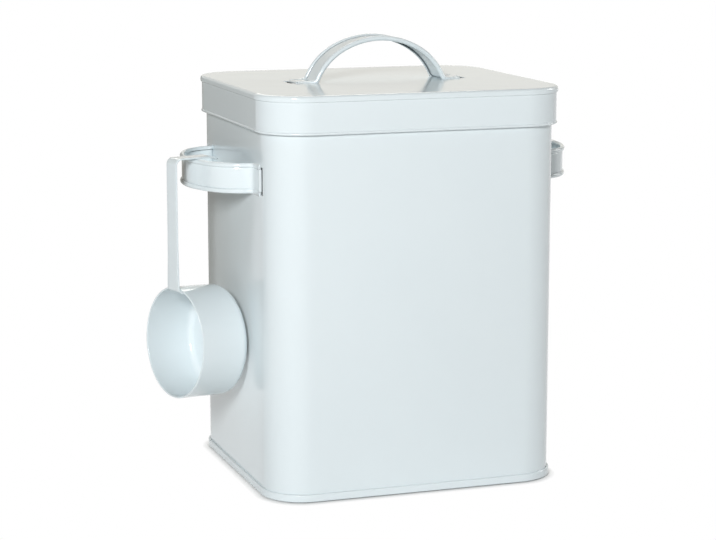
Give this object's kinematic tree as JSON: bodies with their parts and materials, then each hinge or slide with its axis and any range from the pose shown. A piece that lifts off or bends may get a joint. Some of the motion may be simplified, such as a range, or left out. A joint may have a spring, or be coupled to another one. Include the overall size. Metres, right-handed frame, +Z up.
{
  "type": "storage canister",
  "caption": "Rounded square sheet-metal storage tin with a slip lid, strap handles on lid and sides, and a round scoop hooked on a side handle.",
  "frame": {"origin": "middle of the tin's footprint, on the plane that its base seam stands on", "axes": "+Z up through the lid, +X to the right seen from the front, +Y to the back; the scoop hangs on the -X side"},
  "size_m": [0.2922, 0.1898, 0.2943],
  "materials": {
    "tin_enamel": "gloss",
    "lid_enamel": "gloss",
    "handle_enamel": "gloss",
    "scoop_enamel": "gloss"
  },
  "bodies": {
    "canister": {"body_wall": "tin_enamel", "base_pan": "tin_enamel", "left_side_handle": "handle_enamel", "right_side_handle": "handle_enamel"},
    "lid": {"lid_panel": "lid_enamel", "lid_skirt": "lid_enamel", "lid_handle": "handle_enamel"},
    "scoop": {"scoop_cup": "scoop_enamel", "scoop_handle": "scoop_enamel"}
  },
  "joints": [
    {"name": "lid_lift", "type": "slide", "parent": "canister", "child": "lid", "axis": [0, 0, 1], "range_m": [0, 0.25]},
    {"name": "scoop_lift", "type": "slide", "parent": "canister", "child": "scoop", "axis": [-0.678, -0.2008, 0.7071], "range_m": [0, 0.15]}
  ]
}
